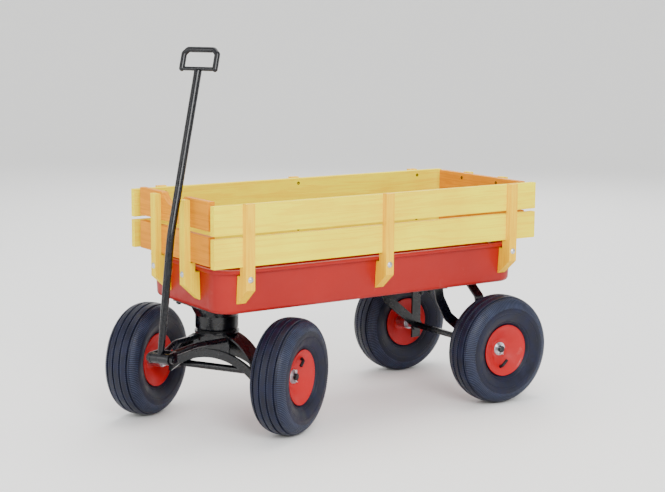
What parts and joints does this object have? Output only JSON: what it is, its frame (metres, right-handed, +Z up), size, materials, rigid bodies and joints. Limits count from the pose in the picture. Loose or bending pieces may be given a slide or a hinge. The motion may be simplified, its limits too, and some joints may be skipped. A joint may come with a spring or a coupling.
{
  "type": "garden cart",
  "caption": "Four-wheeled garden cart with a red steel tray, bolted yellow stake sides, pneumatic tyres, turntable steering and a black loop pull handle.",
  "frame": {"origin": "on the ground, under the centre of the whole cart's box", "axes": "+X towards the pulling end, +Y to the cart's left, +Z up; the front axle stands steered 30 degrees to the left at rest"},
  "size_m": [1.0168, 0.5018, 0.8458],
  "materials": {
    "tray_paint": "brick-red satin enamel on pressed sheet steel",
    "rim_paint": "bright red gloss enamel on pressed steel discs",
    "black_paint": "gloss black powder coat on steel",
    "board_wood": "planed pine under a yellow gloss stain",
    "stake_wood": "planed pine under a yellow gloss stain, grain upright",
    "tyre_rubber": "black moulded rubber, slightly dusty",
    "tube_rubber": "black butyl rubber",
    "zinc_steel": "bright zinc-plated steel",
    "hub_steel": "zinc-plated steel tube",
    "bearing_steel": "ground bearing steel with pressed shields",
    "nylon": "black moulded nylon"
  },
  "bodies": {
    "chassis": {"board_screws": "zinc_steel", "front_lower_board": "board_wood", "front_stakes": "stake_wood", "front_upper_board": "board_wood", "kingpin_bolt": "zinc_steel", "kingpin_nut": "zinc_steel", "left_lower_board": "board_wood", "left_stakes": "stake_wood", "left_upper_board": "board_wood", "rear_axle": "black_paint", "rear_axle_braces": "black_paint", "rear_axle_hanger": "black_paint", "rear_axle_washers_and_pins": "zinc_steel", "rear_lower_board": "board_wood", "rear_stakes": "stake_wood", "rear_upper_board": "board_wood", "right_lower_board": "board_wood", "right_stakes": "stake_wood", "right_upper_board": "board_wood", "stake_bolts": "zinc_steel", "stake_nuts": "zinc_steel", "tray_floor": "tray_paint", "tray_floor_bolts": "zinc_steel", "tray_walls": "tray_paint", "turret_base_plate": "black_paint", "turret_cup": "black_paint"},
    "front_steering": {"front_axle_arch": "black_paint", "turntable_plate": "black_paint", "thrust_washer": "nylon", "front_axle": "black_paint", "front_axle_washers_and_pins": "zinc_steel", "tongue": "black_paint", "handle_pivot_bolt": "black_paint", "handle_pivot_nut": "black_paint"},
    "handle": {"handle_shaft": "black_paint", "handle_loop": "black_paint"},
    "front_left_wheel": {"front_left_bearings": "bearing_steel", "front_left_hub": "hub_steel", "front_left_inner_tube": "tube_rubber", "front_left_rim_inner": "rim_paint", "front_left_rim_outer": "rim_paint", "front_left_tyre": "tyre_rubber"},
    "front_right_wheel": {"front_right_bearings": "bearing_steel", "front_right_hub": "hub_steel", "front_right_inner_tube": "tube_rubber", "front_right_rim_inner": "rim_paint", "front_right_rim_outer": "rim_paint", "front_right_tyre": "tyre_rubber"},
    "rear_left_wheel": {"rear_left_bearings": "bearing_steel", "rear_left_hub": "hub_steel", "rear_left_inner_tube": "tube_rubber", "rear_left_rim_inner": "rim_paint", "rear_left_rim_outer": "rim_paint", "rear_left_tyre": "tyre_rubber"},
    "rear_right_wheel": {"rear_right_bearings": "bearing_steel", "rear_right_hub": "hub_steel", "rear_right_inner_tube": "tube_rubber", "rear_right_rim_inner": "rim_paint", "rear_right_rim_outer": "rim_paint", "rear_right_tyre": "tyre_rubber"}
  },
  "joints": [
    {"name": "steering_turn", "type": "hinge", "parent": "chassis", "child": "front_steering", "pos_m": [0.282, 0, 0.2], "axis": [0, 0, 1], "range_deg": [-70, 10]},
    {"name": "handle_fold", "type": "hinge", "parent": "front_steering", "child": "handle", "pos_m": [0.48638, 0.118, 0.199], "axis": [-0.5, 0.866, 0], "range_deg": [0, 120]},
    {"name": "front_left_spin", "type": "hinge", "parent": "front_steering", "child": "front_left_wheel", "pos_m": [0.1895, 0.16021, 0.13], "axis": [-0.5, 0.866, 0], "continuous": true},
    {"name": "front_right_spin", "type": "hinge", "parent": "front_steering", "child": "front_right_wheel", "pos_m": [0.3745, -0.16021, 0.13], "axis": [-0.5, 0.866, 0], "continuous": true},
    {"name": "rear_left_spin", "type": "hinge", "parent": "chassis", "child": "rear_left_wheel", "pos_m": [-0.378, 0.195, 0.13], "axis": [0, 1, 0], "continuous": true},
    {"name": "rear_right_spin", "type": "hinge", "parent": "chassis", "child": "rear_right_wheel", "pos_m": [-0.378, -0.195, 0.13], "axis": [0, 1, 0], "continuous": true}
  ]
}
